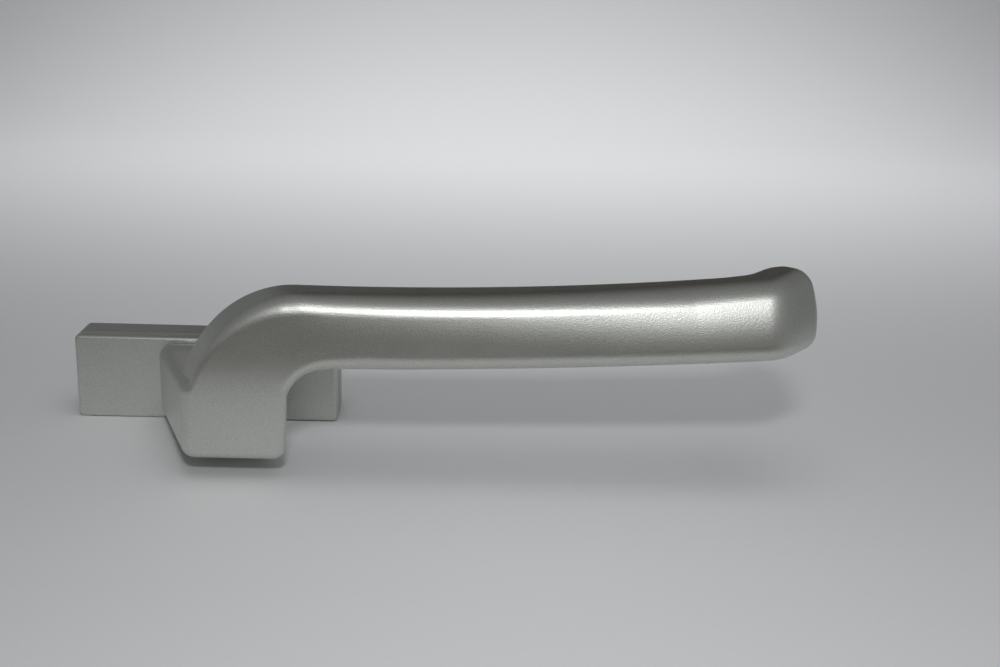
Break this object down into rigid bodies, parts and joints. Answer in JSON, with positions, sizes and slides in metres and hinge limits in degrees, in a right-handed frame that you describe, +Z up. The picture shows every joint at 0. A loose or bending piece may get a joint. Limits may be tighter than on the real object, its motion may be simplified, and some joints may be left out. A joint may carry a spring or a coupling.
{
  "type": "window handle",
  "caption": "Cranked window handle: a bead-blasted lever with a hooked tip on a narrow two-layer backplate, with a square spindle, a detent and a cover that turns aside.",
  "frame": {"origin": "middle of the backplate's back face, on the axis that the lever turns about, halfway between the fixing screws", "axes": "+X along the backplate towards the grip, +Y into the window frame, +Z up; the handle stands out along -Y"},
  "size_m": [0.1887, 0.0903, 0.0554],
  "materials": {
    "anodised_aluminium": "bead-blasted and silver anodised",
    "lacquered_zinc": "die-cast zinc under silver lacquer",
    "zinc_plated_steel": "zinc-plated steel",
    "spring_steel": "drawn or rolled spring steel",
    "hardened_steel": "hardened and ground steel",
    "acetal": "moulded acetal",
    "glass_filled_nylon": "moulded glass-filled nylon"
  },
  "bodies": {
    "base": {"base_housing": "lacquered_zinc", "back_plate": "zinc_plated_steel", "back_plate_screw_left": "zinc_plated_steel", "back_plate_screw_right": "zinc_plated_steel", "mounting_screw_left": "zinc_plated_steel", "mounting_screw_right": "zinc_plated_steel", "bearing_bush": "acetal", "thrust_washer": "acetal", "detent_spring_left": "spring_steel", "detent_spring_right": "spring_steel"},
    "lever": {"lever": "anodised_aluminium", "square_spindle": "zinc_plated_steel", "spindle_pin": "hardened_steel", "detent_disc": "hardened_steel", "dished_washer": "spring_steel", "retaining_ring": "spring_steel"},
    "cover": {"cover_cap": "anodised_aluminium", "cover_liner": "glass_filled_nylon"},
    "plunger_left": {"detent_plunger_left": "hardened_steel"},
    "plunger_right": {"detent_plunger_right": "hardened_steel"}
  },
  "joints": [
    {"name": "lever_turn", "type": "hinge", "parent": "base", "child": "lever", "pos_m": [0, 0, 0], "axis": [0, -1, 0], "range_deg": [0, 180]},
    {"name": "cover_turn", "type": "hinge", "parent": "base", "child": "cover", "pos_m": [0, 0, 0], "axis": [0, -1, 0], "range_deg": [0, 90]},
    {"name": "left_plunger_slide", "type": "slide", "parent": "base", "child": "plunger_left", "axis": [1, 0, 0], "range_m": [0, 0.00045]},
    {"name": "right_plunger_slide", "type": "slide", "parent": "base", "child": "plunger_right", "axis": [-1, 0, 0], "range_m": [0, 0.00045]}
  ]
}
